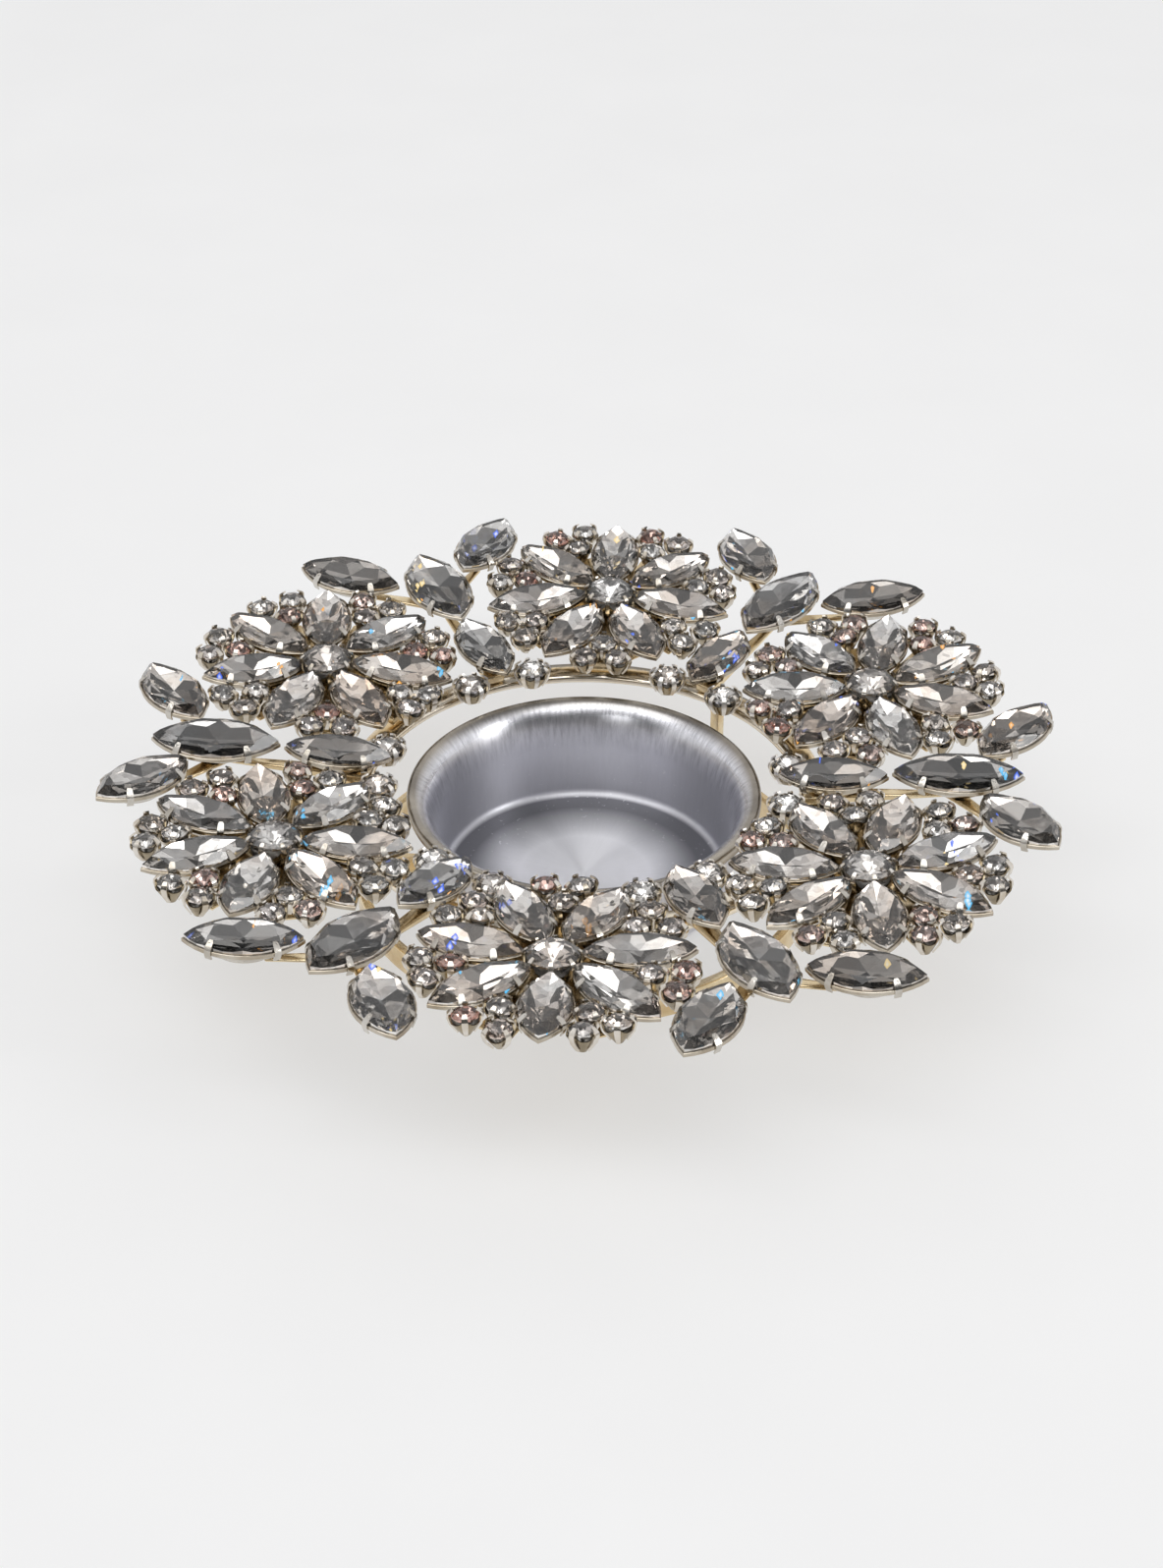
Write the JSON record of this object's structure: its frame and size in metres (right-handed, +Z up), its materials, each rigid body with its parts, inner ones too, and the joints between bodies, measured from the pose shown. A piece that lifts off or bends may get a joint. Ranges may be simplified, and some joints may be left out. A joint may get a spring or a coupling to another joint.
{
  "type": "candle ring",
  "caption": "Round tealight holder: a spun metal cup inside a ring that carries a wreath of faceted stones set as flowers and leaf sprigs, standing on a low foot band.",
  "frame": {"origin": "on the table under the foot band, on the axis of the ring and cup", "axes": "+Z up along the ring's axis; +Y towards the flower that is at the back in the picture; +X to the right in the picture"},
  "size_m": [0.1326, 0.1318, 0.0245],
  "materials": {
    "frame_gold": "pale gold plate, softly polished",
    "claw_gold": "pale gold plate, polished",
    "cup_metal": "satin, spun, with a bronze-toned lip",
    "crystal": "faceted clear crystal with a silvered back"
  },
  "bodies": {
    "root": {"centre_settings": "claw_gold", "centre_stones": "crystal", "cluster_settings_1": "claw_gold", "cluster_settings_2": "claw_gold", "cluster_settings_3": "claw_gold", "cluster_settings_4": "claw_gold", "cluster_settings_5": "claw_gold", "cluster_settings_6": "claw_gold", "cluster_stones_1": "crystal", "cluster_stones_2": "crystal", "cluster_stones_3": "crystal", "cluster_stones_4": "crystal", "cluster_stones_5": "crystal", "cluster_stones_6": "crystal", "cup_support": "frame_gold", "flower_frame_1": "frame_gold", "flower_frame_2": "frame_gold", "flower_frame_3": "frame_gold", "flower_frame_4": "frame_gold", "flower_frame_5": "frame_gold", "flower_frame_6": "frame_gold", "foot_ring": "frame_gold", "leaf_settings_1": "claw_gold", "leaf_settings_2": "claw_gold", "leaf_settings_3": "claw_gold", "leaf_settings_4": "claw_gold", "leaf_settings_5": "claw_gold", "leaf_settings_6": "claw_gold", "leaf_stones_1": "crystal", "leaf_stones_2": "crystal", "leaf_stones_3": "crystal", "leaf_stones_4": "crystal", "leaf_stones_5": "crystal", "leaf_stones_6": "crystal", "leg_1": "frame_gold", "leg_2": "frame_gold", "leg_3": "frame_gold", "petal_settings_1": "claw_gold", "petal_settings_2": "claw_gold", "petal_settings_3": "claw_gold", "petal_settings_4": "claw_gold", "petal_settings_5": "claw_gold", "petal_settings_6": "claw_gold", "petal_stones_1": "crystal", "petal_stones_2": "crystal", "petal_stones_3": "crystal", "petal_stones_4": "crystal", "petal_stones_5": "crystal", "petal_stones_6": "crystal", "ring_settings": "claw_gold", "ring_stones": "crystal", "sprig_frame_1": "frame_gold", "sprig_frame_2": "frame_gold", "sprig_frame_3": "frame_gold", "sprig_frame_4": "frame_gold", "sprig_frame_5": "frame_gold", "sprig_frame_6": "frame_gold", "tealight_cup": "cup_metal", "upper_ring": "frame_gold"}
  },
  "joints": []
}
